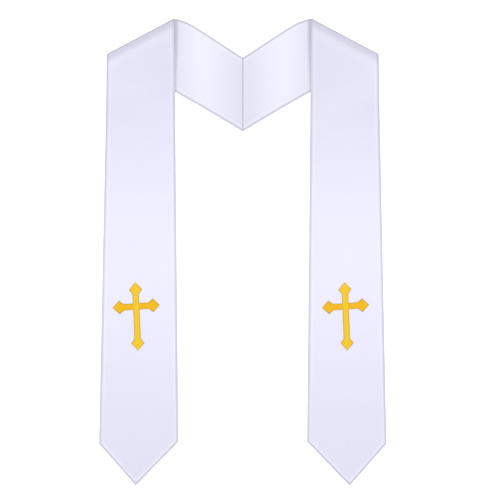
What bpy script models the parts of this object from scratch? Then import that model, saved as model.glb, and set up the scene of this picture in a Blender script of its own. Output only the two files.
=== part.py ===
# A clerical stole laid flat: a white satin band in two mirrored halves that meet at a mitred
# centre-back seam. Each half runs outward from the seam as the neck piece, lining side up, folds
# over at the shoulder and comes down as the front panel, face side up, to a pointed hem.
# Metres, +Z up. The origin lies on the table under the middle of the stole: X is 0 at the
# centre-back seam and Y is 0 halfway between the shoulder folds and the hem points.
import math

import bmesh
import bpy
from mathutils import Vector

# Cloth
WALL = 0.0010  # one ply of satin
GAP = 0.0003  # between pieces that touch: the two plies, the two halves, a cross on its panel
HALF_BAND = WALL + GAP / 2  # from the band's middle surface to either side of the cloth

# Outline of one half, as (distance from the centre-back seam, height up the table)
SEAM_TOP = Vector((0.0, 0.3153))
SEAM_BOTTOM = Vector((0.0, 0.1955))
FOLD_INNER = Vector((0.1108, 0.3788))
FOLD_OUTER = Vector((0.2197, 0.3211))
HEM_INNER = Vector((0.1042, -0.3064))
HEM_OUTER = Vector((0.2327, -0.3098))
HEM_POINT = Vector((0.1731, -0.3776))

NECK_RISE = 0.648  # slope of the neck's upper edge, straight from the seam
NECK_BEND = 0.0750  # where that edge starts to ease over towards the fold
NECK_BOW = 0.0017  # how far the neck's lower edge bows in from a straight line

# Form off the table
NECK_ARCH = 0.0030  # the neck piece bows up between the seam and the front panel
NECK_SPAN = 0.1060  # width of that bow
ROLL_RADIUS = 0.0022  # middle surface of the band in the shoulder fold
ROLL_TURN = math.radians(168)  # how far the fold turns before it flattens out
CORNER_CUT = 0.0026  # how far along the fold its inner corner is blunted
CREST = 0.0170  # distance from the fold to the top of its soft swell
CREST_FALL = 0.0550  # length over which the swell sinks back
STEP_MARGIN = 0.0040  # how far the panel carries on level past the neck's lower edge
STEP_RUN = 0.0600  # length over which it then drops to the table

# Rows of the cloth along the band, and columns across it
COLUMNS = 12
NECK_ROWS = 11
ROLL_ROWS = 7
SHOULDER_ROWS = 16
PANEL_ROWS = 12
HEM_ROWS = 4
ROW_EASE = 1.35  # above 1, rows lie closer together towards the seam and towards the fold
SHOULDER_END = 0.2250  # height up the table where the rows have turned level
HEM_START = -0.2500  # where they start to follow the pointed hem

# Crosses, one row each: side of the stole, then the place where the bars cross
CROSSES = {
    "cross_left": {"side": -1, "across": 0.1724, "up": -0.0873},
    "cross_right": {"side": 1, "across": 0.1663, "up": -0.0871},
}
# Arms in order round the cross: direction in degrees, reach to the tip, half the width of the
# pointed end, and the length from its widest place out to the tip
ARMS = {
    "right": {"direction": 3.7, "reach": 0.0379, "flare_half": 0.0112, "flare_tip": 0.0107},
    "top": {"direction": 92.4, "reach": 0.0389, "flare_half": 0.0107, "flare_tip": 0.0118},
    "left": {"direction": 183.7, "reach": 0.0379, "flare_half": 0.0112, "flare_tip": 0.0107},
    "bottom": {"direction": 272.4, "reach": 0.0714, "flare_half": 0.0107, "flare_tip": 0.0118},
}
BAR_HALF = 0.00515  # half the width of a bar
FLARE_ROOT = 0.0082  # from a pointed end's widest place back to the bar
CROSS_HEIGHT = 0.0015  # raised embroidery
CROSS_EDGE = 0.0004  # its rounded rim

FOLD_LINE = (FOLD_OUTER - FOLD_INNER).normalized()
INWARD = Vector((FOLD_LINE.y, -FOLD_LINE.x))  # across the fold, into the stole
STACK = 3 * HALF_BAND + GAP  # middle surface of the panel where it lies on the neck piece
HALVINGS = 40  # enough to place a point on an edge to well under a micrometre
MERGE = 0.00001

# Linear colour, roughness
MATERIALS = {
    "satin_face": {"color": (0.84, 0.83, 0.93), "roughness": 0.42},
    "satin_lining": {"color": (0.84, 0.83, 0.93), "roughness": 0.48},
    "gold_embroidery": {"color": (0.90, 0.60, 0.035), "roughness": 0.45},
}


def clear_scene():
    for item in list(bpy.data.objects):
        bpy.data.objects.remove(item, do_unlink=True)


def make_collection(name):
    collection = bpy.data.collections.new(name)
    bpy.context.scene.collection.children.link(collection)
    return collection


def make_materials():
    made = {}
    for name, look in MATERIALS.items():
        material = bpy.data.materials.new(name)
        material.use_nodes = True
        shader = material.node_tree.nodes["Principled BSDF"]
        shader.inputs["Base Color"].default_value = (*look["color"], 1.0)
        shader.inputs["Roughness"].default_value = look["roughness"]
        shader.inputs["Metallic"].default_value = 0.0
        made[name] = material
    return made


def smooth_fall(share):
    """1 at a share of 0 and before, easing down to 0 at 1 and after."""
    share = min(max(share, 0.0), 1.0)
    return 0.5 + 0.5 * math.cos(math.pi * share)


def neck_upper(across):
    """A point on the neck's upper edge: straight, then easing over to the fold's inner corner."""
    straight = SEAM_TOP.y + NECK_RISE * across
    drop = SEAM_TOP.y + NECK_RISE * FOLD_INNER.x - FOLD_INNER.y
    eased = max(across - NECK_BEND, 0.0) / (FOLD_INNER.x - NECK_BEND)
    return Vector((across, straight - drop * eased**2))


def neck_lower(across):
    """A point on the neck's lower edge, from the seam to the fold's outer corner."""
    share = across / FOLD_OUTER.x
    bow = 4 * NECK_BOW * share * (1 - share)
    return Vector((across, SEAM_BOTTOM.y + (FOLD_OUTER.y - SEAM_BOTTOM.y) * share + bow))


def panel_inner(up):
    share = (FOLD_INNER.y - up) / (FOLD_INNER.y - HEM_INNER.y)
    return FOLD_INNER.lerp(HEM_INNER, share)


def panel_outer(up):
    share = (FOLD_OUTER.y - up) / (FOLD_OUTER.y - HEM_OUTER.y)
    return FOLD_OUTER.lerp(HEM_OUTER, share)


def inset(point):
    """How far a point lies from the outline of the shoulder fold."""
    return (point - FOLD_INNER).dot(INWARD)


def place_at_inset(edge, near_fold, far, distance):
    """The place along an edge where it is a given distance from the fold, found by halving."""
    for _ in range(HALVINGS):
        middle = (near_fold + far) / 2
        if inset(edge(middle)) < distance:
            near_fold = middle
        else:
            far = middle
    return middle


def across_share(column):
    """Columns from the inner edge to the outer, with the middle one running to the hem's point."""
    point_share = (HEM_POINT.x - HEM_INNER.x) / (HEM_OUTER.x - HEM_INNER.x)
    half = COLUMNS // 2
    if column <= half:
        return point_share * column / half
    return point_share + (1 - point_share) * (column - half) / half


def row_between(inner, outer):
    return [inner.lerp(outer, across_share(column)) for column in range(COLUMNS + 1)]


def neck_height(point):
    """The neck piece lies on the table but for a low arch between the seam and the panel."""
    if point.x >= NECK_SPAN:
        return HALF_BAND
    return HALF_BAND + NECK_ARCH * math.sin(math.pi * point.x / NECK_SPAN) ** 2


def roll_top():
    """Distance from the fold's outline and height where the roll hands over to the swell."""
    angle = ROLL_TURN - math.pi / 2
    return (
        HALF_BAND + ROLL_RADIUS * (1 - math.cos(angle)),
        HALF_BAND + ROLL_RADIUS * (1 + math.sin(angle)),
    )


def swell(distance):
    """Extra height of the panel by its distance from the fold: up to the crest, then back."""
    start, height = roll_top()
    rise = math.tan(math.pi - ROLL_TURN) * (CREST - start) / 2
    crest = height + rise - STACK
    if distance < CREST:
        left = (CREST - distance) / (CREST - start)
        return crest - rise * left**2
    return crest * smooth_fall((distance - CREST) / CREST_FALL)


def panel_height(point):
    """Middle surface of the front panel: on the neck piece, then down to the table."""
    edge = neck_lower(min(point.x, FOLD_OUTER.x))
    slope = math.atan2(FOLD_OUTER.y - SEAM_BOTTOM.y, FOLD_OUTER.x)
    past_edge = (edge.y - point.y) * math.cos(slope)
    step = (STACK - HALF_BAND) * smooth_fall((past_edge - STEP_MARGIN) / STEP_RUN)
    return HALF_BAND + step + swell(inset(point))


def with_height(row, height):
    return [Vector((point.x, point.y, height(point))) for point in row]


def neck_grid(start):
    """Rows fanning from the centre-back seam to the start of the roll."""
    last_inner = place_at_inset(neck_upper, FOLD_INNER.x, 0.0, start)
    last_outer = place_at_inset(neck_lower, FOLD_OUTER.x, 0.0, start)
    rows = []
    for index in range(NECK_ROWS + 1):
        share = (index / NECK_ROWS) ** ROW_EASE
        inner = neck_upper(GAP / 2 + (last_inner - GAP / 2) * share)
        outer = neck_lower(GAP / 2 + (last_outer - GAP / 2) * share)
        rows.append(with_height(row_between(inner, outer), neck_height))
    return rows


def roll_grid(neck_row, panel_row):
    """Rows round the fold, all parallel to it, whose ends glide past the fold's own corners."""
    fold_row = row_between(FOLD_INNER, FOLD_OUTER)
    fold_row[0] += FOLD_LINE * CORNER_CUT
    rows = []
    for index in range(1, ROLL_ROWS):
        share = index / ROLL_ROWS
        angle = ROLL_TURN * share - math.pi / 2
        distance = HALF_BAND + ROLL_RADIUS * (1 - math.cos(angle))
        height = HALF_BAND + ROLL_RADIUS * (1 + math.sin(angle))
        row = []
        for low, corner, high in zip(neck_row, fold_row, panel_row):
            before = low.to_2d().lerp(corner, share)
            after = corner.lerp(high.to_2d(), share)
            point = before.lerp(after, share)
            point += (distance - inset(point)) * INWARD
            row.append(Vector((point.x, point.y, height)))
        rows.append(row)
    return rows


def panel_grid(start):
    """Rows from the fold to the hem: along the fold, then level, then pointed."""
    top_inner = place_at_inset(panel_inner, FOLD_INNER.y, 0.0, start)
    top_outer = place_at_inset(panel_outer, FOLD_OUTER.y, 0.0, start)
    rows = []
    for index in range(SHOULDER_ROWS):
        share = (index / SHOULDER_ROWS) ** ROW_EASE
        inner = panel_inner(top_inner + (SHOULDER_END - top_inner) * share)
        outer = panel_outer(top_outer + (SHOULDER_END - top_outer) * share)
        rows.append(row_between(inner, outer))
    for index in range(PANEL_ROWS):
        up = SHOULDER_END + (HEM_START - SHOULDER_END) * index / PANEL_ROWS
        rows.append(row_between(panel_inner(up), panel_outer(up)))
    half = COLUMNS // 2
    drop = HEM_INNER.lerp(HEM_OUTER, across_share(half)).y - HEM_POINT.y
    for index in range(HEM_ROWS + 1):
        share = index / HEM_ROWS
        inner = panel_inner(HEM_START + (HEM_INNER.y - HEM_START) * share)
        outer = panel_outer(HEM_START + (HEM_OUTER.y - HEM_START) * share)
        row = row_between(inner, outer)
        for column, point in enumerate(row):
            point.y -= drop * share * (1 - abs(column - half) / half)
        rows.append(row)
    return [with_height(row, panel_height) for row in rows]


def band_rows():
    """The middle surface of one half, from the centre-back seam to the hem."""
    neck = neck_grid(HALF_BAND + ROLL_RADIUS)
    panel = panel_grid(roll_top()[0])
    return neck + roll_grid(neck[-1], panel[0]) + panel


def make_ply(name, rows, side, outward, material, collection):
    """One ply of a half: the shaped grid, given its wall on the face or the lining side."""
    mesh = bpy.data.meshes.new(name)
    cloth = bmesh.new()
    bmesh.ops.create_grid(cloth, x_segments=COLUMNS, y_segments=len(rows) - 1, size=1.0)
    cloth.verts.ensure_lookup_table()
    for vertex in cloth.verts:
        row, column = divmod(vertex.index, COLUMNS + 1)
        point = rows[row][column]
        vertex.co = (side * point.x, point.y, point.z)
    cloth.normal_update()
    hem_corner = cloth.verts[-1]
    if hem_corner.normal.z < 0:  # the face side is up on the front panel
        bmesh.ops.reverse_faces(cloth, faces=cloth.faces)
    cloth.to_mesh(mesh)
    cloth.free()
    mesh.materials.append(material)
    ply = bpy.data.objects.new(name, mesh)
    collection.objects.link(ply)
    wall = ply.modifiers.new("Wall", "SOLIDIFY")
    wall.thickness = WALL
    wall.offset = outward * (WALL + GAP) / WALL
    wall.use_even_offset = True
    wall.use_quality_normals = True
    mesh.shade_smooth()
    return ply


def arm_point(centre, direction, along, aside):
    """A point of an arm: along it from the crossing, then to its left."""
    angle = math.radians(direction)
    ahead = Vector((math.cos(angle), math.sin(angle)))
    return centre + along * ahead + aside * Vector((-ahead.y, ahead.x))


def cross_outline(centre):
    """The outline round all four arms, each with its pointed, flared end."""
    outline = []
    arms = list(ARMS.values())
    for arm, following in zip(arms, arms[1:] + arms[:1]):
        widest = arm["reach"] - arm["flare_tip"]
        stations = (
            (widest - FLARE_ROOT, -BAR_HALF),
            (widest, -arm["flare_half"]),
            (arm["reach"], 0.0),
            (widest, arm["flare_half"]),
            (widest - FLARE_ROOT, BAR_HALF),
        )
        for along, aside in stations:
            outline.append(arm_point(centre, arm["direction"], along, aside))
        crotch = arm_point(centre, arm["direction"], BAR_HALF, BAR_HALF)
        crotch += arm_point(centre, following["direction"], BAR_HALF, -BAR_HALF)
        outline.append(crotch / 2)
    return outline


def make_cross(name, side, across, up, material, collection):
    """Raised embroidery, lying on the panel's face."""
    centre = Vector((side * across, up))
    curve = bpy.data.curves.new(name, "CURVE")
    curve.dimensions = "2D"
    curve.fill_mode = "BOTH"
    curve.extrude = CROSS_HEIGHT / 2
    outline = cross_outline(centre)
    spline = curve.splines.new("POLY")
    spline.points.add(len(outline) - 1)
    for control, point in zip(spline.points, outline):
        offset = point - centre
        control.co = (offset.x, offset.y, 0.0, 1.0)
    spline.use_cyclic_u = True
    curve.materials.append(material)
    cross = bpy.data.objects.new(name, curve)
    face_top = panel_height(Vector((across, up))) + HALF_BAND
    cross.location = (centre.x, centre.y, face_top + GAP + CROSS_HEIGHT / 2)
    collection.objects.link(cross)
    weld = cross.modifiers.new("Weld", "WELD")
    weld.merge_threshold = MERGE
    rim = cross.modifiers.new("Rim", "BEVEL")
    rim.width = CROSS_EDGE
    rim.segments = 2
    rim.limit_method = "ANGLE"
    rim.angle_limit = math.radians(80)
    return cross


def main():
    clear_scene()
    collection = make_collection("clerical_stole")
    materials = make_materials()
    rows = band_rows()
    for word, side in {"left": -1, "right": 1}.items():
        make_ply(f"face_{word}", rows, side, 1, materials["satin_face"], collection)
        make_ply(f"lining_{word}", rows, side, -1, materials["satin_lining"], collection)
    for name, place in CROSSES.items():
        make_cross(name, **place, material=materials["gold_embroidery"], collection=collection)


main()
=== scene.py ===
import math

import bmesh
import bpy
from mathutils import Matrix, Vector, noise


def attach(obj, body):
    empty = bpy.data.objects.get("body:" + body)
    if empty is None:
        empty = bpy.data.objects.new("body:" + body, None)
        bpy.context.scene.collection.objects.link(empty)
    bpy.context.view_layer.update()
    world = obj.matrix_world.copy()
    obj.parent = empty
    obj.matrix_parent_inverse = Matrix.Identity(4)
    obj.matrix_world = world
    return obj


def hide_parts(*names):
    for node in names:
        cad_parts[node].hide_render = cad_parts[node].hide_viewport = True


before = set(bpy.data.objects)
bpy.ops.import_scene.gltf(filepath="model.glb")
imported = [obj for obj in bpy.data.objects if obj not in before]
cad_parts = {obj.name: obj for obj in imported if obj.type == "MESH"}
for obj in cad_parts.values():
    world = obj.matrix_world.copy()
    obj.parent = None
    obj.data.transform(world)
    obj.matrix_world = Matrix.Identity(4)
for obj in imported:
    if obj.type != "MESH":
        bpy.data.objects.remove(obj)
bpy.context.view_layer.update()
print("frame loaded")

# One half's band: distance from the centre-back seam, height up the table.
# It follows the solids, but for a rounder crest beside the shoulder fold.
band = {
    "seamTop": Vector((0.0, 0.3153)),
    "seamBottom": Vector((0.0, 0.1955)),
    "foldInner": Vector((0.1108, 0.3788)),
    "foldOuter": Vector((0.2197, 0.3211)),
    "hemInner": Vector((0.1042, -0.3064)),
    "hemOuter": Vector((0.2327, -0.3098)),
    "hemPoint": Vector((0.1731, -0.3776)),
    "neckRise": 0.648,  # slope of the neck's upper edge
    "neckBend": 0.0750,  # from here out that edge eases down to the fold
    "neckBow": 0.0017,  # of the neck's lower edge
    "wall": 0.0010,  # one ply
    "gap": 0.0003,  # between the plies, and between the halves at the seam
    "neckArch": 0.0030,  # how far the neck band bows up off the table
    "neckSpan": 0.1060,
    "rollRadius": 0.0022,
    "cornerCut": 0.0026,  # the fold stops short of the corner, so the corner is blunt
    "rollTurn": math.radians(168),
    "crestStart": 0.0080,  # the crest's distances are from the shoulder fold
    "crest": 0.0145,
    "crestFall": 0.0700,
    "crestFade": 1.7,
    "crestRound": 0.04,
    "stepMargin": 0.0040,  # past the neck's lower edge the panel sinks to the table
    "stepRun": 0.0600,
    "shoulderEnd": 0.2250,  # the rows run level from here down to the hem's start
    "hemStart": -0.2500,
}

# The cloth as a thin shell, finer near its edges
shell = {
    "edgeSteps": [0.0, 0.0002, 0.0006, 0.0012, 0.0020, 0.0030, 0.0042, 0.0056, 0.0072, 0.0090,
                  0.0112],
    "middleColumns": 14,  # even number, so one column runs to the hem's point
    # rows close to the centre-back seam, as shares of the way to the fold
    "seamShares": [0.0, 0.0008, 0.0022, 0.0045, 0.008, 0.013, 0.021, 0.034],
    "neckRows": 26,
    "rollRows": 16,
    "shoulderRows": 30,
    "shoulderSpacing": 1.35,  # rows lie closer together near the shoulder fold
    "panelRows": 60,
    "hemRows": 10,
    "leanPasses": 3,  # the sides lean, so a point's place across takes a few passes
    "edgeRadius": 0.0026,  # how far in from the edge each ply rounds down to the seam
    "seamRadius": 0.0012,
    "allowance": 0.00022,  # the turned-in seam allowance lifts the cloth by this
    "allowanceStart": 0.0030,
    "allowanceLead": 0.3,  # share of that start at which the lift begins
    "allowanceEnd": 0.0075,
    "allowanceSoft": 0.0015,
    "liningShown": 0.1060,  # the lining's allowance fades out where the panel covers it
    "liningFade": 0.0080,
    "ripple": 0.00022,  # soft unevenness of cloth on a table
    "rippleSize": 0.085,
    "rippleSeeds": {1: 3.7, -1: 11.3},  # right side, left side
    "rippleEnd": 0.0700,  # on the neck it fades out on the way to the fold
    "rippleFade": 0.0250,
    "rippleStart": 0.0200,  # on the panel it comes in past the fold
    "rippleRun": 0.0500,
    # edge by edge: width and strength of the rolled edge's dark line of painted shade, strength of
    # the allowance's painted highlight
    "upperLine": (0.95, 0.88, 1.0),
    "lowerLine": (1.12, 1.0, 0.8),
    "sideLine": (1.1, 1.0, 1.0),
    "lowSideLine": (0.95, 0.90, 0.65),
    "overNeckLine": (1.0, 0.45, 1.0),
    "pointLine": (0.92, 0.96, 1.8),
    "overNeckMargin": 0.0040,  # the line over the neck gives way round the neck's lower edge
    "overNeckRun": 0.0100,
    "overNeckWidth": 0.0100,  # and it belongs to the inner edge only
    "overNeckFade": 0.0200,
    "lowSideEnd": -0.2500,  # height up the table where the lower sides' line has taken over
    "lowSideRun": 0.0500,
    "mitreBlend": 0.0020,  # at the hem's corners, where the nearest edge changes
}

halfBand = band["wall"] + band["gap"] / 2
foldLine = (band["foldOuter"] - band["foldInner"]).normalized()
inward = Vector((foldLine.y, -foldLine.x))
stack = 3 * halfBand + band["gap"]
halvings = 40  # in the search for the place at a given distance from the fold
smallStep = 0.0001  # to either side, for an edge's direction


def clamp(value, low=0.0, high=1.0):
    return min(max(value, low), high)


def easeDown(share):
    return 0.5 + 0.5 * math.cos(math.pi * clamp(share))


def turn(a, b):
    return a.x * b.y - a.y * b.x


def neckUpper(across):
    straight = band["seamTop"].y + band["neckRise"] * across
    drop = band["seamTop"].y + band["neckRise"] * band["foldInner"].x - band["foldInner"].y
    eased = max(across - band["neckBend"], 0.0) / (band["foldInner"].x - band["neckBend"])
    return Vector((across, straight - drop * eased**2))


def neckLower(across):
    share = across / band["foldOuter"].x
    bow = 4 * band["neckBow"] * share * (1 - share)
    rise = band["foldOuter"].y - band["seamBottom"].y
    return Vector((across, band["seamBottom"].y + rise * share + bow))


def panelInner(up):
    top, low = band["foldInner"], band["hemInner"]
    return top.lerp(low, (top.y - up) / (top.y - low.y))


def panelOuter(up):
    top, low = band["foldOuter"], band["hemOuter"]
    return top.lerp(low, (top.y - up) / (top.y - low.y))


def foldDistance(point):
    return (point - band["foldInner"]).dot(inward)


def placeAt(edge, nearFold, far, distance):
    for _ in range(halvings):
        middle = (nearFold + far) / 2
        if foldDistance(edge(middle)) < distance:
            nearFold = middle
        else:
            far = middle
    return middle


def edgeDirection(edge, place):
    return (edge(place + smallStep) - edge(place - smallStep)).normalized()


def neckHeight(point):
    if point.x >= band["neckSpan"]:
        return halfBand
    return halfBand + band["neckArch"] * math.sin(math.pi * point.x / band["neckSpan"]) ** 2


def rollTop():
    angle = band["rollTurn"] - math.pi / 2
    radius = band["rollRadius"]
    return halfBand + radius * (1 - math.cos(angle)), halfBand + radius * (1 + math.sin(angle))


def swell(distance):
    # straight up from the fold, over a short soft crest, then back down, steepest at first
    start, height = rollTop()
    slope = math.tan(math.pi - band["rollTurn"])
    crestLength = band["crest"] - band["crestStart"]
    crest = height + slope * (band["crestStart"] - start + crestLength / 2) - stack
    if distance < band["crestStart"]:
        return height + slope * (distance - start) - stack
    if distance < band["crest"]:
        left = (band["crest"] - distance) / crestLength
        return crest - slope * crestLength / 2 * left**2
    past = (distance - band["crest"]) / band["crestFall"]
    rounded = math.sqrt(past**2 + band["crestRound"] ** 2) - band["crestRound"]
    return crest * clamp(1 - rounded) ** band["crestFade"]


def panelHeight(point):
    edge = neckLower(min(point.x, band["foldOuter"].x))
    slope = math.atan2(band["foldOuter"].y - band["seamBottom"].y, band["foldOuter"].x)
    pastEdge = (edge.y - point.y) * math.cos(slope)
    step = (stack - halfBand) * easeDown((pastEdge - band["stepMargin"]) / band["stepRun"])
    return halfBand + step + swell(foldDistance(point))


pointShare = (band["hemPoint"].x - band["hemInner"].x) / (band["hemOuter"].x - band["hemInner"].x)


def columnShares(innerScale, outerScale):
    # set distances in from both edges, then evenly to the line that ends in the hem's point
    near = [step / innerScale for step in shell["edgeSteps"]]
    far = [1 - step / outerScale for step in reversed(shell["edgeSteps"])]
    half = shell["middleColumns"] // 2
    left = [near[-1] + (pointShare - near[-1]) * k / half for k in range(1, half + 1)]
    right = [pointShare + (far[0] - pointShare) * k / half for k in range(1, half)]
    return near + left + right + far


def clothRow(inner, outer, innerEdge, outerEdge, height):
    innerScale = abs(turn(outer - inner, innerEdge))
    outerScale = abs(turn(outer - inner, outerEdge))
    row = []
    for share in columnShares(innerScale, outerScale):
        place = inner.lerp(outer, share)
        row.append({
            "at": Vector((place.x, place.y, height(place))),
            "edge": min(share * innerScale, (1 - share) * outerScale),
            "across": share * innerScale,
        })
    return row


def neckRows(start):
    lastInner = placeAt(neckUpper, band["foldInner"].x, 0.0, start)
    lastOuter = placeAt(neckLower, band["foldOuter"].x, 0.0, start)
    first = shell["seamShares"][-1]
    count = shell["neckRows"]
    shares = shell["seamShares"] + [first + (1 - first) * k / count for k in range(1, count + 1)]
    halfGap = band["gap"] / 2
    rows = []
    for share in shares:
        inner = halfGap + (lastInner - halfGap) * share
        outer = halfGap + (lastOuter - halfGap) * share
        row = clothRow(neckUpper(inner), neckLower(outer), edgeDirection(neckUpper, inner),
                       edgeDirection(neckLower, outer), neckHeight)
        for spot in row:
            spot["lining"] = easeDown((spot["at"].x - shell["liningShown"]) / shell["liningFade"])
            spot["face"] = 0.0
            spot["seam"] = spot["at"].x - halfGap
            spot["loose"] = easeDown((spot["at"].x - shell["rippleEnd"]) / shell["rippleFade"])
            spot["line"] = Vector(shell["upperLine"])
        for spot in row[len(row) // 2:]:
            spot["line"] = Vector(shell["lowerLine"])
        rows.append(row)
    return rows


def rollRows(neckRow, panelRow):
    foldRow = []
    for low, high in zip(neckRow, panelRow):
        middle = (low["at"] + high["at"]).to_2d() / 2
        along = clamp((middle - band["foldInner"]).dot(foldLine), band["cornerCut"],
                      (band["foldOuter"] - band["foldInner"]).length)
        foldRow.append(band["foldInner"] + foldLine * along)
    foldRow[-1] = band["foldOuter"]
    rows = []
    for index in range(1, shell["rollRows"]):
        share = index / shell["rollRows"]
        angle = band["rollTurn"] * share - math.pi / 2
        distance = halfBand + band["rollRadius"] * (1 - math.cos(angle))
        height = halfBand + band["rollRadius"] * (1 + math.sin(angle))
        row = []
        for low, corner, high in zip(neckRow, foldRow, panelRow):
            before = low["at"].to_2d().lerp(corner, share)
            place = before.lerp(corner.lerp(high["at"].to_2d(), share), share)
            place += (distance - foldDistance(place)) * inward
            row.append({
                "at": Vector((place.x, place.y, height)),
                "edge": low["edge"] + (high["edge"] - low["edge"]) * share,
                "across": low["across"] + (high["across"] - low["across"]) * share,
                "line": low["line"].lerp(high["line"], share),
                "lining": 0.0, "face": share, "seam": 1.0, "loose": 0.0,
            })
        rows.append(row)
    return rows


def hemLine(across):
    # height of the hem's edge, and how much steeper than square-on it runs
    inner, point, outer = band["hemInner"], band["hemPoint"], band["hemOuter"]
    low, high = (inner, point) if across < point.x else (point, outer)
    slope = (high.y - low.y) / (high.x - low.x)
    return low.y + slope * (across - low.x), math.hypot(1.0, slope)


def edgeLine(spot, hemDistance):
    # the inner edge's painted shade line is faint where it lies on the neck, and all lines change
    # low down
    below = neckLower(min(spot["at"].x, band["foldOuter"].x)).y - spot["at"].y
    onNeck = easeDown((below + shell["overNeckMargin"]) / shell["overNeckRun"])
    onNeck *= easeDown((spot["across"] - shell["overNeckWidth"]) / shell["overNeckFade"])
    low = easeDown((spot["at"].y - shell["lowSideEnd"]) / shell["lowSideRun"])
    nearHem = easeDown((hemDistance - spot["edge"]) / shell["mitreBlend"])
    line = Vector(shell["sideLine"]).lerp(Vector(shell["overNeckLine"]), onNeck)
    line = line.lerp(Vector(shell["lowSideLine"]), low)
    return line.lerp(Vector(shell["pointLine"]), nearHem)


def panelRows(start):
    innerEdge = (band["hemInner"] - band["foldInner"]).normalized()
    outerEdge = (band["hemOuter"] - band["foldOuter"]).normalized()
    topInner = placeAt(panelInner, band["foldInner"].y, 0.0, start)
    topOuter = placeAt(panelOuter, band["foldOuter"].y, 0.0, start)
    ends = []
    for index in range(shell["shoulderRows"]):
        share = (index / shell["shoulderRows"]) ** shell["shoulderSpacing"]
        ends.append((topInner + (band["shoulderEnd"] - topInner) * share,
                     topOuter + (band["shoulderEnd"] - topOuter) * share))
    drop = band["hemStart"] - band["shoulderEnd"]
    for index in range(shell["panelRows"]):
        up = band["shoulderEnd"] + drop * index / shell["panelRows"]
        ends.append((up, up))
    rows = [clothRow(panelInner(a), panelOuter(b), innerEdge, outerEdge, panelHeight)
            for a, b in ends]
    # the last rows bend to the hem's point, the very last keeping their distance from its edge
    level = clothRow(panelInner(band["hemStart"]), panelOuter(band["hemStart"]),
                     innerEdge, outerEdge, panelHeight)
    steps = [(k / shell["hemRows"], shell["edgeSteps"][-1]) for k in range(shell["hemRows"])]
    steps += [(1.0, step) for step in reversed(shell["edgeSteps"])]
    levelInner, levelOuter = level[0]["at"].x, level[-1]["at"].x
    for share, step in steps:
        row = []
        for spot in level:
            across = spot["at"].x
            part = (across - levelInner) / (levelOuter - levelInner)
            for _ in range(shell["leanPasses"]):
                hemY, steep = hemLine(across)
                up = band["hemStart"] + (hemY + step * steep - band["hemStart"]) * share
                inner, outer = panelInner(up).x, panelOuter(up).x
                across = inner + (outer - inner) * part
            height = panelHeight(Vector((across, up)))
            row.append({"at": Vector((across, up, height)), "edge": spot["edge"],
                        "across": spot["across"]})
        rows.append(row)
    for row in rows:
        for spot in row:
            hemY, steep = hemLine(spot["at"].x)
            hemDistance = max((spot["at"].y - hemY) / steep, 0.0)
            spot["line"] = edgeLine(spot, hemDistance)
            spot["edge"] = min(spot["edge"], hemDistance)
            spot["lining"], spot["face"], spot["seam"] = 0.0, 1.0, 1.0
            pastFold = foldDistance(spot["at"].to_2d())
            spot["loose"] = 1 - easeDown((pastFold - shell["rippleStart"]) / shell["rippleRun"])
    return rows


def bandRows():
    neck = neckRows(halfBand + band["rollRadius"])
    panel = panelRows(rollTop()[0])
    rows = neck + rollRows(neck[-1], panel[0]) + panel
    middle = len(rows[0]) // 2
    along = 0.0
    for index, row in enumerate(rows):
        if index:
            along += (row[middle]["at"] - rows[index - 1][middle]["at"]).length
        for spot in row:
            spot["along"] = along
    return rows


def clothNormals(rows):
    lastRow, lastColumn = len(rows) - 1, len(rows[0]) - 1
    normals = []
    for r in range(lastRow + 1):
        line = []
        for c in range(lastColumn + 1):
            across = rows[r][min(c + 1, lastColumn)]["at"] - rows[r][max(c - 1, 0)]["at"]
            along = rows[min(r + 1, lastRow)][c]["at"] - rows[max(r - 1, 0)][c]["at"]
            line.append(along.cross(across).normalized())
        normals.append(line)
    return normals


def rounding(distance, radius):
    return math.sqrt(1 - (1 - clamp(distance / radius)) ** 2)


def allowanceLift(edge):
    start, end, soft = shell["allowanceStart"], shell["allowanceEnd"], shell["allowanceSoft"]
    rise = 1 - easeDown((edge - start * shell["allowanceLead"]) / start)
    return shell["allowance"] * rise * easeDown((edge - end + soft) / (2 * soft))


def fillGrid(form, grid):
    for line, nextLine in zip(grid, grid[1:]):
        for c in range(len(line) - 1):
            form.faces.new((line[c], line[c + 1], nextLine[c + 1], nextLine[c]))


def finishPiece(name, form, material):
    bmesh.ops.recalc_face_normals(form, faces=form.faces)
    for face in form.faces:
        face.smooth = True
    mesh = bpy.data.meshes.new(name)
    form.to_mesh(mesh)
    form.free()
    mesh.materials.append(material)
    piece = bpy.data.objects.new(name, mesh)
    bpy.context.scene.collection.objects.link(piece)
    return piece


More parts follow.
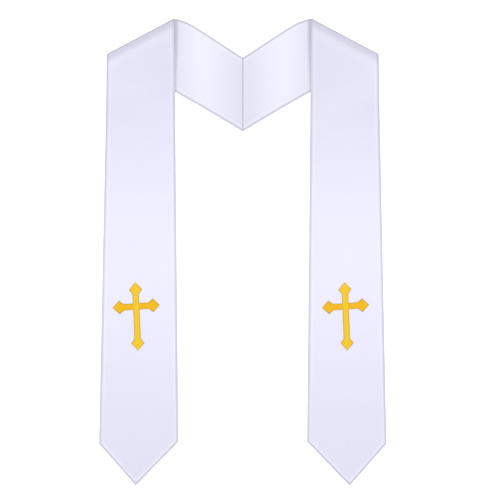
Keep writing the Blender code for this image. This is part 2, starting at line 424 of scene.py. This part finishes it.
def makePly(name, rows, normals, side, outward, visible, material):
    # inner and outer surfaces share the points round the edge, so the shell is closed
    cloth = bmesh.new()
    edgeLayer = cloth.verts.layers.float_vector.new("edgePlace")
    weaveLayer = cloth.verts.layers.float_vector.new("weavePlace")
    lineLayer = cloth.verts.layers.float_vector.new("edgeLine")
    lastRow, lastColumn = len(rows) - 1, len(rows[0]) - 1
    size, seed = shell["rippleSize"], shell["rippleSeeds"][side]

    def addPoint(spot, normal, offset):
        at = spot["at"].copy()
        ripple = noise.noise(Vector((at.x, at.y, seed * size)) / size)
        at.z += shell["ripple"] * (0.5 + 0.5 * ripple) * spot["loose"]
        at += normal * outward * offset
        vertex = cloth.verts.new((side * at.x, at.y, at.z))
        vertex[edgeLayer] = (spot["edge"], spot["seam"], foldDistance(spot["at"].to_2d()))
        vertex[weaveLayer] = (spot["across"], spot["along"], side)
        vertex[lineLayer] = spot["line"]
        return vertex

    inner, outer = [], []
    for r, row in enumerate(rows):
        innerLine, outerLine = [], []
        for c, spot in enumerate(row):
            normal = normals[r][c]
            innerVertex = addPoint(spot, normal, band["gap"] / 2)
            innerLine.append(innerVertex)
            if r in (0, lastRow) or c in (0, lastColumn):
                outerLine.append(innerVertex)
                continue
            thick = band["wall"] * rounding(spot["edge"], shell["edgeRadius"])
            thick *= rounding(spot["seam"], shell["seamRadius"])
            thick += allowanceLift(spot["edge"]) * spot[visible]
            outerLine.append(addPoint(spot, normal, band["gap"] / 2 + thick))
        inner.append(innerLine)
        outer.append(outerLine)
    fillGrid(cloth, inner)
    fillGrid(cloth, outer)
    return finishPiece(name, cloth, material)


# Node helpers
noiseSpan = (0.3, 0.7)  # most of a noise texture's values lie between these
mixSockets = {"first": 6, "second": 7, "result": 2}  # the Mix node's colours


def addNode(tree, kind, place, **settings):
    node = tree.nodes.new(kind)
    node.location = place
    for key, value in settings.items():
        setattr(node, key, value)
    return node


def mathNode(tree, operation, place, first, second=None, third=None, clampIt=False):
    node = addNode(tree, "ShaderNodeMath", place, operation=operation, use_clamp=clampIt)
    for socket, value in zip(node.inputs, (first, second, third)):
        if isinstance(value, (int, float)):
            socket.default_value = value
        elif value is not None:
            tree.links.new(value, socket)
    return node.outputs[0]


def rangeNode(tree, place, value, fromLow, fromHigh, toLow, toHigh):
    node = addNode(tree, "ShaderNodeMapRange", place, interpolation_type="SMOOTHSTEP")
    tree.links.new(value, node.inputs["Value"])
    spans = {"From Min": fromLow, "From Max": fromHigh, "To Min": toLow, "To Max": toHigh}
    for key, number in spans.items():
        if isinstance(number, (int, float)):
            node.inputs[key].default_value = number
        else:
            tree.links.new(number, node.inputs[key])
    return node.outputs["Result"]


def mixColours(tree, place, factor, first, second, blend="MIX"):
    node = addNode(tree, "ShaderNodeMix", place, data_type="RGBA", blend_type=blend,
                   clamp_factor=True)
    sockets = (node.inputs["Factor"], node.inputs[mixSockets["first"]],
               node.inputs[mixSockets["second"]])
    for socket, value in zip(sockets, (factor, first, second)):
        if isinstance(value, (int, float)):
            socket.default_value = value
        elif isinstance(value, tuple):
            socket.default_value = (*value, 1.0)
        else:
            tree.links.new(value, socket)
    return node.outputs[mixSockets["result"]]


def newGroup(name, inputs, outputs):
    group = bpy.data.node_groups.new(name, "ShaderNodeTree")
    for label, kind, value in inputs:
        socket = group.interface.new_socket(label, in_out="INPUT", socket_type=kind)
        if value is not None:
            socket.default_value = value
    for label, kind in outputs:
        group.interface.new_socket(label, in_out="OUTPUT", socket_type=kind)
    start = addNode(group, "NodeGroupInput", (-900, 0))
    end = addNode(group, "NodeGroupOutput", (900, 0))
    return group, start, end


def threadGroup():
    # fine parallel threads with slubs, for satin cloth and for satin stitch
    group, start, end = newGroup("threads", [
        ("Place", "NodeSocketVector", None),
        ("Thread Width", "NodeSocketFloat", 0.0003),
        ("Float Length", "NodeSocketFloat", 0.004),
        ("Unevenness", "NodeSocketFloat", 0.5),
    ], [("Tone", "NodeSocketFloat"), ("Height", "NodeSocketFloat"), ("Slub", "NodeSocketFloat")])
    split = addNode(group, "ShaderNodeSeparateXYZ", (-700, 0))
    group.links.new(start.outputs["Place"], split.inputs[0])
    across = mathNode(group, "DIVIDE", (-520, 120), split.outputs["X"],
                      start.outputs["Thread Width"])
    along = mathNode(group, "DIVIDE", (-520, -60), split.outputs["Y"],
                     start.outputs["Float Length"])
    cell = mathNode(group, "FLOOR", (-360, 200), across)
    joined = addNode(group, "ShaderNodeCombineXYZ", (-200, 60))
    group.links.new(cell, joined.inputs["X"])
    group.links.new(along, joined.inputs["Y"])
    group.links.new(split.outputs["Z"], joined.inputs["Z"])
    threadNoise = addNode(group, "ShaderNodeTexNoise", (-20, 60))
    threadNoise.inputs["Scale"].default_value = 1.0
    threadNoise.inputs["Detail"].default_value = 1.0
    group.links.new(joined.outputs[0], threadNoise.inputs["Vector"])
    slub = rangeNode(group, (180, 60), threadNoise.outputs["Fac"], *noiseSpan, 0.0, 1.0)
    wave = mathNode(group, "MULTIPLY", (-200, 260), across, math.tau)
    crown = mathNode(group, "COSINE", (-20, 260), wave)
    rounded = mathNode(group, "MULTIPLY_ADD", (180, 260), crown, -0.5, 0.5)
    uneven = mathNode(group, "MULTIPLY", (380, 60), slub, start.outputs["Unevenness"])
    height = mathNode(group, "ADD", (560, 160), rounded, uneven)
    lighter = mathNode(group, "MULTIPLY", (380, -120), rounded, 0.5)
    tone = mathNode(group, "ADD", (560, -60), lighter, uneven)
    group.links.new(tone, end.inputs["Tone"])
    group.links.new(height, end.inputs["Height"])
    group.links.new(slub, end.inputs["Slub"])
    return group


def seamEdgeGroup():
    # masks for the painted shade line along the rolled edge, and for the painted highlight on the
    # seam allowance inside it
    group, start, end = newGroup("seamEdge", [
        ("Edge Distance", "NodeSocketFloat", 0.0),
        ("Roll Width", "NodeSocketFloat", 0.003),
        ("Allowance Start", "NodeSocketFloat", 0.003),
        ("Allowance End", "NodeSocketFloat", 0.009),
        ("Softness", "NodeSocketFloat", 0.001),
    ], [("Roll", "NodeSocketFloat"), ("Allowance", "NodeSocketFloat")])
    distance = start.outputs["Edge Distance"]
    softness = start.outputs["Softness"]
    rollEnd = mathNode(group, "ADD", (-600, 200), start.outputs["Roll Width"], softness)
    rollStart = mathNode(group, "SUBTRACT", (-600, 60), start.outputs["Roll Width"], softness)
    rollShade = rangeNode(group, (-300, 200), distance, rollStart, rollEnd, 1.0, 0.0)
    riseEnd = mathNode(group, "ADD", (-600, -60), start.outputs["Allowance Start"], softness)
    rise = rangeNode(group, (-300, -40), distance, start.outputs["Allowance Start"], riseEnd,
                     0.0, 1.0)
    fallStart = mathNode(group, "SUBTRACT", (-600, -220), start.outputs["Allowance End"], softness)
    fallEnd = mathNode(group, "ADD", (-600, -360), start.outputs["Allowance End"], softness)
    fall = rangeNode(group, (-300, -260), distance, fallStart, fallEnd, 1.0, 0.0)
    allowance = mathNode(group, "MULTIPLY", (0, -120), rise, fall)
    group.links.new(rollShade, end.inputs["Roll"])
    group.links.new(allowance, end.inputs["Allowance"])
    return group


def placeGroup(tree, group, place, values):
    node = addNode(tree, "ShaderNodeGroup", place)
    node.node_tree = group
    for key, value in values.items():
        node.inputs[key].default_value = value
    return node


def rampNode(tree, place, value, stops):
    node = addNode(tree, "ShaderNodeValToRGB", place)
    tree.links.new(value, node.inputs["Fac"])
    ramp = node.color_ramp
    ramp.interpolation = "B_SPLINE"
    while len(ramp.elements) < len(stops):
        ramp.elements.new(0.5)  # anywhere, each is placed below
    for element, (position, grey) in zip(ramp.elements, stops):
        element.position = position
        element.color = (grey, grey, grey, 1.0)
    return node.outputs["Color"]


def tuckShade(tree, position, colour, look):
    # painted shadow: the neck piece goes dim beside the front panel's edge, where it passes under
    # the panel, more so towards the fold
    sideways = mathNode(tree, "ABSOLUTE", (-1140, 1200), position.outputs["X"])
    panelEdge = mathNode(tree, "MULTIPLY_ADD", (-1140, 1360), position.outputs["Y"],
                         look["panelLean"], look["panelEdge"])
    away = mathNode(tree, "SUBTRACT", (-960, 1260), panelEdge, sideways)
    low, high = look["tuckSpan"]
    reach = rangeNode(tree, (-960, 1420), position.outputs["Y"], low, high, *look["tuckReach"])
    share = mathNode(tree, "DIVIDE", (-780, 1300), away, reach)
    fade = rangeNode(tree, (-600, 1300), share, look["tuckHold"], 1.0, look["tuckShadowStrength"], 0.0)
    start = rangeNode(tree, (-780, 1480), away, *look["tuckStart"])
    dim = mathNode(tree, "MULTIPLY", (-420, 1360), fade, start)
    return mixColours(tree, (240, 420), dim, colour, look["tuckShadowColour"])


def threadFinish(tree, shader, look, threadNode, slub):
    # roughness changes along the threads, and each thread stands up in a fine bump
    rough = rangeNode(tree, (-560, -120), slub, 0.0, 1.0, *look["roughness"])
    tree.links.new(rough, shader.inputs["Roughness"])
    bump = addNode(tree, "ShaderNodeBump", (-240, -300))
    bump.inputs["Strength"].default_value = look["bump"]
    bump.inputs["Distance"].default_value = look["bumpDepth"]
    tree.links.new(threadNode.outputs["Height"], bump.inputs["Height"])
    tree.links.new(bump.outputs["Normal"], shader.inputs["Normal"])
    shader.inputs["Specular IOR Level"].default_value = look["specular"]
    shader.inputs["Metallic"].default_value = 0.0


def satinMaterial(name, look, threads, seamEdge):
    material = bpy.data.materials.new(name)
    material.use_nodes = True
    tree = material.node_tree
    shader = tree.nodes["Principled BSDF"]
    edge = addNode(tree, "ShaderNodeAttribute", (-1500, 200), attribute_name="edgePlace")
    split = addNode(tree, "ShaderNodeSeparateXYZ", (-1320, 200))
    tree.links.new(edge.outputs["Vector"], split.inputs[0])
    weave = addNode(tree, "ShaderNodeAttribute", (-1500, -300), attribute_name="weavePlace")
    threadNode = placeGroup(tree, threads, (-1100, -300), look["weave"])
    tree.links.new(weave.outputs["Vector"], threadNode.inputs["Place"])
    lustreNode = placeGroup(tree, threads, (-1100, -60), look["lustre"])
    tree.links.new(weave.outputs["Vector"], lustreNode.inputs["Place"])
    edgeNode = placeGroup(tree, seamEdge, (-1100, 300), look["edge"])
    line = addNode(tree, "ShaderNodeAttribute", (-1500, 420), attribute_name="edgeLine")
    lineSplit = addNode(tree, "ShaderNodeSeparateXYZ", (-1400, 420))
    tree.links.new(line.outputs["Vector"], lineSplit.inputs[0])
    edgeDistance = mathNode(tree, "DIVIDE", (-1260, 420), split.outputs["X"],
                            lineSplit.outputs["X"])
    tree.links.new(edgeDistance, edgeNode.inputs["Edge Distance"])
    # painted shade in the groove of the centre-back seam
    seamShadeLine = rangeNode(tree, (-1100, 60), split.outputs["Y"], 0.0, look["seamShadeLine"], 1.0, 0.0)
    edgeRollShade = mathNode(tree, "MULTIPLY", (-1000, 200), edgeNode.outputs["Roll"],
                        lineSplit.outputs["Y"])
    seamShade = mathNode(tree, "MULTIPLY", (-1000, 60), seamShadeLine, look["seamShadeStrength"])
    rollShade = mathNode(tree, "MAXIMUM", (-900, 200), edgeRollShade, seamShade)

    # where the cloth lies on the table, for its broad change of tone: a painted sheen, lighter in
    # the middle and darker towards the ends
    coordinates = addNode(tree, "ShaderNodeTexCoord", (-1500, 700))
    position = addNode(tree, "ShaderNodeSeparateXYZ", (-1320, 700))
    tree.links.new(coordinates.outputs["Object"], position.inputs[0])
    place = position.outputs["Y"]
    if look["sheenAxis"] == "X":
        place = mathNode(tree, "ABSOLUTE", (-1140, 760), position.outputs["X"])
    low, high = look["sheenSpan"]
    span = high - low
    share = mathNode(tree, "MULTIPLY_ADD", (-960, 700), place, 1 / span, -low / span,
                     clampIt=True)
    tone = rampNode(tree, (-780, 700), share, look["tone"])

    cloud = addNode(tree, "ShaderNodeTexNoise", (-960, 480))
    cloud.inputs["Scale"].default_value = look["cloudScale"]
    cloud.inputs["Detail"].default_value = look["cloudDetail"]
    tree.links.new(coordinates.outputs["Object"], cloud.inputs["Vector"])
    cloudShare = rangeNode(tree, (-780, 480), cloud.outputs["Fac"], *noiseSpan,
                           0.0, look["clouding"])
    base = mixColours(tree, (-560, 500), cloudShare, look["colour"], look["cloudColour"])
    threadShare = rangeNode(tree, (-780, -200), threadNode.outputs["Tone"],
                            0.0, look["threadTop"], look["threadDepth"], 0.0)
    base = mixColours(tree, (-400, 400), threadShare, base, look["grooveColour"])
    lustreShare = rangeNode(tree, (-780, 60), lustreNode.outputs["Slub"],
                            0.0, 1.0, look["lustreDepth"], 0.0)
    base = mixColours(tree, (-320, 480), lustreShare, base, look["grooveColour"])
    toned = mixColours(tree, (-240, 420), 1.0, base, tone, blend="MULTIPLY")
    # painted light: a little brighter up the table
    if "paintedHeightLight" in look:
        paintedHeightLight = rangeNode(tree, (-420, 620), position.outputs["Y"], *look["paintedHeightLight"])
        toned = mixColours(tree, (-200, 500), 1.0, toned, paintedHeightLight, blend="MULTIPLY")
    # painted shade along the shoulder fold and on the slope that rises from it
    foldShare = mathNode(tree, "DIVIDE", (-960, 900), split.outputs["Z"], look["foldReach"],
                         clampIt=True)
    foldShade = rampNode(tree, (-780, 940), foldShare, look["foldShade"])
    toned = mixColours(tree, (-160, 560), 1.0, toned, foldShade, blend="MULTIPLY")
    # painted highlight on the crest past the shoulder fold
    crestHighlight = rampNode(tree, (-780, 1180), foldShare, look["foldCrestHighlight"])
    toned = mixColours(tree, (-120, 700), crestHighlight, toned, look["paintedHighlightColour"])
    # painted highlight on the seam allowance inside the edges, faded out near the shoulder fold
    pastFold = rangeNode(tree, (-960, 1060), split.outputs["Z"], *look["allowanceHighlightFade"],
                         0.0, look["allowanceHighlightStrength"])
    shown = mathNode(tree, "MULTIPLY", (-860, 260), edgeNode.outputs["Allowance"],
                     lineSplit.outputs["Z"])
    allowanceHighlight = mathNode(tree, "MULTIPLY", (-700, 220), shown, pastFold, clampIt=True)
    toned = mixColours(tree, (-80, 340), allowanceHighlight, toned, look["paintedHighlightColour"])
    # painted shade: a narrow dark line along the rolled edges and the seam
    rollShaded = mathNode(tree, "MULTIPLY", (-560, 160), rollShade, look["rollShadeStrength"], clampIt=True)
    finished = mixColours(tree, (80, 340), rollShaded, toned, look["rollShadeColour"])
    # painted shadow of the front panel on the neck band
    if "tuckReach" in look:
        finished = tuckShade(tree, position, finished, look)
    tree.links.new(finished, shader.inputs["Base Color"])
    threadFinish(tree, shader, look, threadNode, lustreNode.outputs["Slub"])
    shader.inputs["Sheen Weight"].default_value = look["sheen"]
    shader.inputs["Sheen Roughness"].default_value = look["sheenRoughness"]
    return material


satinFace = {
    "colour": (0.820, 0.812, 0.970),
    "cloudColour": (0.807, 0.797, 0.960),
    "clouding": 0.5,  # how far the tone drifts in soft patches
    "cloudScale": 14.0,
    "cloudDetail": 2.0,
    "grooveColour": (0.70, 0.69, 0.86),
    "threadDepth": 0.24,
    "threadTop": 1.2,  # the thread tone at which a groove has faded out
    "lustreDepth": 0.10,  # of the broad silky streaks
    # painted highlight, on the seam allowance and on the crest past the shoulder fold
    "paintedHighlightColour": (0.825, 0.818, 0.955),
    "allowanceHighlightStrength": 0.50,
    "allowanceHighlightFade": (0.009, 0.020),  # it shows this far from the shoulder fold
    # painted shade along the rolled edges and the centre-back seam
    "rollShadeColour": (0.50, 0.493, 0.580),
    "rollShadeStrength": 0.60,
    "edge": {"Roll Width": 0.0033, "Allowance Start": 0.0036, "Allowance End": 0.0070,
             "Softness": 0.0010},
    "foldReach": 0.04,  # the two ramps below run from the shoulder fold to here
    # painted shade: darkest at the shoulder fold, and in a dip on the slope above it
    "foldShade": [(0.0, 0.57), (0.035, 0.62), (0.075, 0.92), (0.12, 0.935), (0.2, 0.905),
                 (0.3, 0.965), (0.4, 1.0)],
    # painted highlight on the crest past the shoulder fold
    "foldCrestHighlight": [(0.2, 0.0), (0.36, 0.50), (0.46, 0.42), (0.65, 0.1), (0.85, 0.0)],
    # painted shade in the centre-back seam's groove: its width and strength
    "seamShadeLine": 0.0015,
    "seamShadeStrength": 1.12,
    "weave": {"Thread Width": 0.00028, "Float Length": 0.0045, "Unevenness": 0.6},
    "lustre": {"Thread Width": 0.0013, "Float Length": 0.030, "Unevenness": 1.0},
    "sheenAxis": "Y",
    "sheenSpan": (-0.38, 0.38),
    # painted sheen: lighter across the middle of the table, darker towards both ends
    "tone": [(0.04, 0.937), (0.2, 0.935), (0.46, 1.01), (0.58, 1.01), (0.78, 0.938),
             (0.88, 0.944), (0.95, 0.936)],
    "roughness": (0.37, 0.47),
    "bump": 0.55,
    "bumpDepth": 0.00005,
    "specular": 0.35,
    "sheen": 0.08,
    "sheenRoughness": 0.4,
}
satinLining = dict(satinFace)
satinLining.update({
    # lighter than the face: part of the neck band's painted sheen
    "colour": (0.871, 0.862, 1.0),
    "cloudColour": (0.860, 0.850, 0.99),
    "grooveColour": (0.75, 0.74, 0.89),
    "threadDepth": 0.16,
    "lustreDepth": 0.07,
    # painted highlight on the lining's seam allowance
    "paintedHighlightColour": (0.90, 0.892, 0.995),
    "rollShadeColour": (0.52, 0.513, 0.600),
    "rollShadeStrength": 0.74,
    "foldShade": [(0.0, 1.0), (1.0, 1.0)],
    "foldCrestHighlight": [(0.0, 0.0), (1.0, 0.0)],
    # painted shadow on the neck band beside the front panel's inner edge
    "panelEdge": 0.10759,  # the front panel's inner edge, out from the seam, and its lean
    "panelLean": 0.0085,
    "tuckSpan": (0.255, 0.345),  # the shade widens from the first height to the second
    "tuckReach": (0.0030, 0.0082),
    "tuckHold": 0.3,
    "tuckStart": (-0.0005, 0.0025, 0.15, 1.0),
    "tuckShadowStrength": 0.62,
    "tuckShadowColour": (0.50, 0.493, 0.61),
    "sheenAxis": "X",
    "sheenSpan": (0.0, 0.115),
    # painted sheen: lighter halfway out along each neck half, darker at the seam and by the panel
    "tone": [(0.0, 0.875), (0.16, 0.895), (0.47, 1.01), (0.68, 1.01), (0.87, 0.91)],
    # painted light: the lining grows a little brighter up the table
    "paintedHeightLight": (0.205, 0.365, 0.972, 1.030),  # a little brighter up the table
    "roughness": (0.41, 0.51),
})

threads = threadGroup()
seamEdge = seamEdgeGroup()
satinFaceMaterial = satinMaterial("satinFace", satinFace, threads, seamEdge)
satinLiningMaterial = satinMaterial("satinLining", satinLining, threads, seamEdge)
print("satin ready")

rows = bandRows()
normals = clothNormals(rows)
for word, side in (("Left", -1), ("Right", 1)):
    face = makePly("face" + word, rows, normals, side, 1, "face", satinFaceMaterial)
    lining = makePly("lining" + word, rows, normals, side, -1, "lining", satinLiningMaterial)
    for ply, node, slot in ((face, "face_", "satin_face"), (lining, "lining_", "satin_lining")):
        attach(ply, "root")
        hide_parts(node + word.lower())
print("cloth laid:", len(rows), "rows of", len(rows[0]), "points")

# The embroidered crosses: satin stitch over padding, the upright worked over the crossbar
cross = {
    "left": {"side": -1, "across": 0.1724, "up": -0.0873},
    "right": {"side": 1, "across": 0.1663, "up": -0.0871},
    "base": 0.0026,  # height at which the stitches meet the panel
    "barHalf": 0.00515,
    "flareRoot": 0.0082,  # the flared ends run out of the bar over this length
    "rootCurve": 1.25,
    "tipRound": 0.0006,
    "thinnest": 0.00012,  # half width at the very tip
    "pitch": 0.00062,  # one thread to the next
    "stationsPerThread": 4,
    "ridge": 0.00007,
    "bulge": 0.012,  # how much wider a thread's crown is, as a share
    "columns": 14,
    "dome": 2.4,  # the padding's section, rounder towards 2
    "narrowing": 0.7,  # the padding gets lower where the bar gets narrower
    "lowest": 0.00005,  # least height above the panel
    "crossingLift": 0.0007,
    "crossingHalf": 0.0042,
    "crossingRun": 0.0030,
}
# direction in degrees, back and reach to either side of the crossing
bars = {
    "crossbar": {"direction": 3.7, "back": 0.0379, "reach": 0.0379, "height": 0.0011,
                 "flareHalf": 0.0112, "flareTip": 0.0107, "over": False},
    "upright": {"direction": 92.4, "back": 0.0714, "reach": 0.0389, "height": 0.0013,
                "flareHalf": 0.0107, "flareTip": 0.0118, "over": True},
}


def barHalfWidth(bar, fromTip):
    if fromTip < bar["flareTip"]:
        blunt = 2 * cross["tipRound"]
        full = bar["flareTip"] * (bar["flareTip"] + blunt)
        return bar["flareHalf"] * math.sqrt(fromTip * (fromTip + blunt) / full)
    left = 1 - clamp((fromTip - bar["flareTip"]) / cross["flareRoot"])
    return cross["barHalf"] + (bar["flareHalf"] - cross["barHalf"]) * left ** cross["rootCurve"]


def makeBar(name, place, bar, material):
    angle = math.radians(bar["direction"])
    ahead = Vector((math.cos(angle), math.sin(angle)))
    aside = Vector((-ahead.y, ahead.x))
    centre = Vector((place["side"] * place["across"], place["up"]))
    length = bar["back"] + bar["reach"]
    stations = round(length / cross["pitch"]) * cross["stationsPerThread"]
    stitched = bmesh.new()
    layer = stitched.verts.layers.float_vector.new("threadPlace")
    columns = cross["columns"]
    top, bottom = [], []
    for station in range(stations + 1):
        fromStart = length * station / stations
        half = max(barHalfWidth(bar, min(fromStart, length - fromStart)), cross["thinnest"])
        crown = math.cos(math.tau * fromStart / cross["pitch"])
        wide = half * (1 + cross["bulge"] * crown)
        fullness = clamp(half / cross["barHalf"]) ** cross["narrowing"]
        lift = 0.0
        if bar["over"]:
            fromCrossing = abs(fromStart - bar["back"]) - cross["crossingHalf"]
            lift = cross["crossingLift"] * easeDown(fromCrossing / cross["crossingRun"])
        topLine, bottomLine = [], []
        for column in range(columns + 1):
            sideShare = math.sin(math.pi * (column / columns - 0.5))
            spot = centre + ahead * (fromStart - bar["back"]) + aside * sideShare * wide
            onEdge = station in (0, stations) or column in (0, columns)
            low = stitched.verts.new((spot.x, spot.y, cross["base"]))
            low[layer] = (fromStart, sideShare * half, sideShare)
            bottomLine.append(low)
            if onEdge:
                topLine.append(low)
                continue
            dome = math.sqrt(1 - abs(sideShare) ** cross["dome"])
            fuller = math.sqrt(dome)
            rise = bar["height"] * fullness * dome + lift * fuller
            rise = max(rise + cross["ridge"] * crown * fuller, cross["lowest"])
            high = stitched.verts.new((spot.x, spot.y, cross["base"] + rise))
            high[layer] = (fromStart, sideShare * half, sideShare)
            topLine.append(high)
        top.append(topLine)
        bottom.append(bottomLine)
    fillGrid(stitched, top)
    fillGrid(stitched, bottom)
    return finishPiece(name, stitched, material)


def goldMaterial(name, look, threads, bar):
    material = bpy.data.materials.new(name)
    material.use_nodes = True
    tree = material.node_tree
    shader = tree.nodes["Principled BSDF"]
    stitch = addNode(tree, "ShaderNodeAttribute", (-1200, 0), attribute_name="threadPlace")
    split = addNode(tree, "ShaderNodeSeparateXYZ", (-1020, 180))
    tree.links.new(stitch.outputs["Vector"], split.inputs[0])
    threadNode = placeGroup(tree, threads, (-820, -100), look["thread"])
    tree.links.new(stitch.outputs["Vector"], threadNode.inputs["Place"])
    share = rangeNode(tree, (-600, 100), threadNode.outputs["Tone"],
                      0.0, look["threadTop"], 1.0, 0.0)
    colour = mixColours(tree, (-400, 160), share, look["colour"], look["shade"])
    # painted shade: each bar goes darker towards its sides and at its pointed tips, less where the
    # bars cross
    side = mathNode(tree, "ABSOLUTE", (-820, 260), split.outputs["Z"])
    pastCrossing = mathNode(tree, "SUBTRACT", (-1140, 420), split.outputs["X"], bar["back"])
    fromCrossing = mathNode(tree, "ABSOLUTE", (-980, 420), pastCrossing)
    rimStrength = rangeNode(tree, (-800, 420), fromCrossing, *look["rimFade"],
                            look["crossingRim"], look["rimStrength"])
    rim = rangeNode(tree, (-600, 320), side, look["rimStart"], 1.0, 0.0, rimStrength)
    length = bar["back"] + bar["reach"]
    toFarEnd = mathNode(tree, "SUBTRACT", (-980, 600), length, split.outputs["X"])
    toEnd = mathNode(tree, "MINIMUM", (-800, 600), toFarEnd, split.outputs["X"])
    tip = rangeNode(tree, (-600, 540), toEnd, *look["tipFade"], look["tipStrength"], 0.0)
    rim = mathNode(tree, "MAXIMUM", (-400, 420), rim, tip)
    colour = mixColours(tree, (-200, 220), rim, colour, look["rim"])
    tree.links.new(colour, shader.inputs["Base Color"])
    threadFinish(tree, shader, look, threadNode, threadNode.outputs["Slub"])
    return material


goldUpright = {
    "colour": (0.94, 0.63, 0.020),
    "shade": (0.82, 0.52, 0.010),
    "threadTop": 1.3,
    # painted shade at the bars' sides and pointed tips
    "rim": (0.50, 0.34, 0.03),
    "rimStart": 0.64,  # share of the way from the middle to the side
    "rimStrength": 0.76,
    "crossingRim": 0.35,  # fainter where the bars cross
    "rimFade": (0.0045, 0.0075),
    "tipStrength": 0.60,  # the pointed ends are darker at the very tip
    "tipFade": (0.0006, 0.0034),
    "thread": {"Thread Width": 0.00031, "Float Length": 0.006, "Unevenness": 0.7},
    "roughness": (0.37, 0.48),
    "bump": 0.4,
    "bumpDepth": 0.00005,
    "specular": 0.25,
}
goldCrossbar = dict(goldUpright)
goldCrossbar.update({
    "colour": (0.915, 0.53, 0.003),
    "shade": (0.80, 0.435, 0.002),
    "specular": 0.15,
})
gold = {
    "upright": goldMaterial("goldUpright", goldUpright, threads, bars["upright"]),
    "crossbar": goldMaterial("goldCrossbar", goldCrossbar, threads, bars["crossbar"]),
}
for word in ("left", "right"):
    for part, bar in bars.items():
        piece = makeBar(part + word.capitalize(), cross[word], bar, gold[part])
        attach(piece, "root")
        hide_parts("cross_" + word)
print("crosses stitched")

# Floor, light and camera
studio = {
    "floorSize": 16.0,
    "floorDrop": 0.0004,  # just under the cloth
    "floorColour": (0.93, 0.93, 0.935),
    "floorRoughness": 0.9,
    "floorGlow": 0.42,
    "skyStrength": 0.484,
    "above": {"size": (3.4, 0.4), "place": (0.0, 0.0, 0.95), "power": 7.6},
    "key": {"size": (6.0, 2.0), "place": (0.0, -1.2, 8.0), "power": 178.0},
    "aim": (0.0, 0.0, 0.0),  # both lamps point at the middle of the table
    "lens": 100.0,
    "sensor": 36.0,
    "cameraPlace": (0.0117, 0.0040, 2.25),
}
floorMesh = bpy.data.meshes.new("floor")
floorForm = bmesh.new()
bmesh.ops.create_grid(floorForm, x_segments=1, y_segments=1, size=studio["floorSize"] / 2)
floorForm.to_mesh(floorMesh)
floorForm.free()
floor = bpy.data.objects.new("floor", floorMesh)
floor.location.z = -studio["floorDrop"]
bpy.context.scene.collection.objects.link(floor)
floorMaterial = bpy.data.materials.new("paleFloor")
floorMaterial.use_nodes = True
floorShader = floorMaterial.node_tree.nodes["Principled BSDF"]
floorShader.inputs["Base Color"].default_value = (*studio["floorColour"], 1.0)
floorShader.inputs["Roughness"].default_value = studio["floorRoughness"]
floorShader.inputs["Specular IOR Level"].default_value = 0.0
floorShader.inputs["Emission Color"].default_value = (1.0, 1.0, 1.0, 1.0)
floorShader.inputs["Emission Strength"].default_value = studio["floorGlow"]
floorMesh.materials.append(floorMaterial)

world = bpy.data.worlds.new("studio")
world.use_nodes = True
sky = world.node_tree.nodes["Background"]
sky.inputs["Color"].default_value = (1.0, 1.0, 1.0, 1.0)
sky.inputs["Strength"].default_value = studio["skyStrength"]
bpy.context.scene.world = world
bpy.context.scene.view_settings.view_transform = "Standard"

for name in ("above", "key"):
    values = studio[name]
    light = bpy.data.lights.new(name, "AREA")
    light.shape = "RECTANGLE"
    light.size, light.size_y = values["size"]
    light.energy = values["power"]
    lamp = bpy.data.objects.new(name, light)
    lamp.location = values["place"]
    aim = Vector(studio["aim"]) - Vector(values["place"])
    lamp.rotation_euler = aim.to_track_quat("-Z", "Y").to_euler()
    lamp.visible_camera = False
    bpy.context.scene.collection.objects.link(lamp)

cameraData = bpy.data.cameras.new("camera")
cameraData.lens = studio["lens"]
cameraData.sensor_width = studio["sensor"]
camera = bpy.data.objects.new("camera", cameraData)
camera.location = studio["cameraPlace"]
bpy.context.scene.collection.objects.link(camera)
bpy.context.scene.camera = camera
print("studio set")
